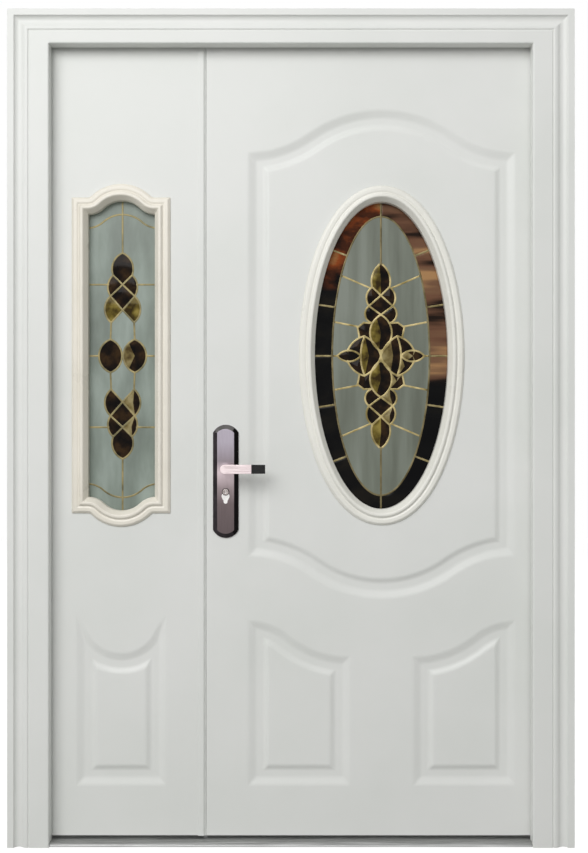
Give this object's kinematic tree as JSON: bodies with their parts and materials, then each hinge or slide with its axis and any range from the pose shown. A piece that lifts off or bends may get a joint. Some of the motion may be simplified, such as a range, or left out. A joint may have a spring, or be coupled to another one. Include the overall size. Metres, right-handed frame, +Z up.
{
  "type": "security door, unequal double leaf in a steel frame",
  "caption": "White pressed-steel double door with a wide and a narrow leaf in a moulded frame, leaded oval and arched windows, embossed panels and a long-plate lever lock.",
  "frame": {"origin": "middle of the sill's underside, on the floor under the middle of the leaves' thickness", "axes": "+X to the right seen from the street side, -Y towards the street, +Z up"},
  "size_m": [1.4, 0.168, 2.07],
  "materials": {
    "white_paint": "satin white paint on pressed steel",
    "cream_moulding": "satin cream plastic",
    "brass_came": "dull brass",
    "frosted_glass": "frosted",
    "dark_glass": "dark bronze, polished",
    "bevel_glass": "clear bevelled, polished",
    "satin_bronze": "satin pinkish nickel",
    "bright_steel": "polished",
    "bare_steel": "brushed",
    "sill_steel": "brushed",
    "rubber_seal": "matte black",
    "black_grip": "gloss black",
    "filling": "honeycomb filling"
  },
  "bodies": {
    "frame": {"left_jamb": "white_paint", "right_jamb": "white_paint", "frame_head": "white_paint", "sill": "sill_steel", "anchor_plates": "bare_steel", "rebate_seal": "rubber_seal", "main_hinge_frame_halves": "white_paint", "side_hinge_frame_halves": "white_paint"},
    "main_leaf": {"main_front_skin": "white_paint", "main_back_skin": "white_paint", "main_core": "filling", "oval_front_moulding": "cream_moulding", "oval_back_moulding": "cream_moulding", "oval_cames": "brass_came", "oval_frosted_glass": "frosted_glass", "oval_border_glass": "dark_glass", "oval_bevels": "bevel_glass", "outer_lock_plate": "satin_bronze", "inner_lock_plate": "satin_bronze", "key_cylinder": "bright_steel", "thumb_turn": "bright_steel", "lock_faceplate": "bare_steel", "lock_bolts": "bright_steel", "main_hinge_leaf_halves": "white_paint", "main_meeting_seal": "rubber_seal"},
    "lever": {"outer_lever": "satin_bronze", "inner_lever": "satin_bronze", "outer_lever_tip": "black_grip", "inner_lever_tip": "black_grip", "lever_spindle": "bare_steel"},
    "side_leaf": {"side_front_skin": "white_paint", "side_back_skin": "white_paint", "side_core": "filling", "arch_front_moulding": "cream_moulding", "arch_back_moulding": "cream_moulding", "arch_cames": "brass_came", "arch_frosted_glass": "frosted_glass", "arch_bevels": "bevel_glass", "meeting_strip": "white_paint", "strike_plate": "bare_steel", "flush_bolts": "bare_steel", "side_hinge_leaf_halves": "white_paint", "side_meeting_seal": "rubber_seal"}
  },
  "joints": [
    {"name": "main_leaf_hinge", "type": "hinge", "parent": "frame", "child": "main_leaf", "pos_m": [0.6125, 0.032, 1], "axis": [0, 0, -1], "range_deg": [0, 110]},
    {"name": "side_leaf_hinge", "type": "hinge", "parent": "frame", "child": "side_leaf", "pos_m": [-0.6125, 0.032, 1], "axis": [0, 0, 1], "range_deg": [0, 110]},
    {"name": "lever_turn", "type": "hinge", "parent": "main_leaf", "child": "lever", "pos_m": [-0.163, 0, 0.934], "axis": [0, 1, 0], "range_deg": [0, 40], "stiffness_Nm_per_rad": 2, "springref_deg": -34.38}
  ]
}
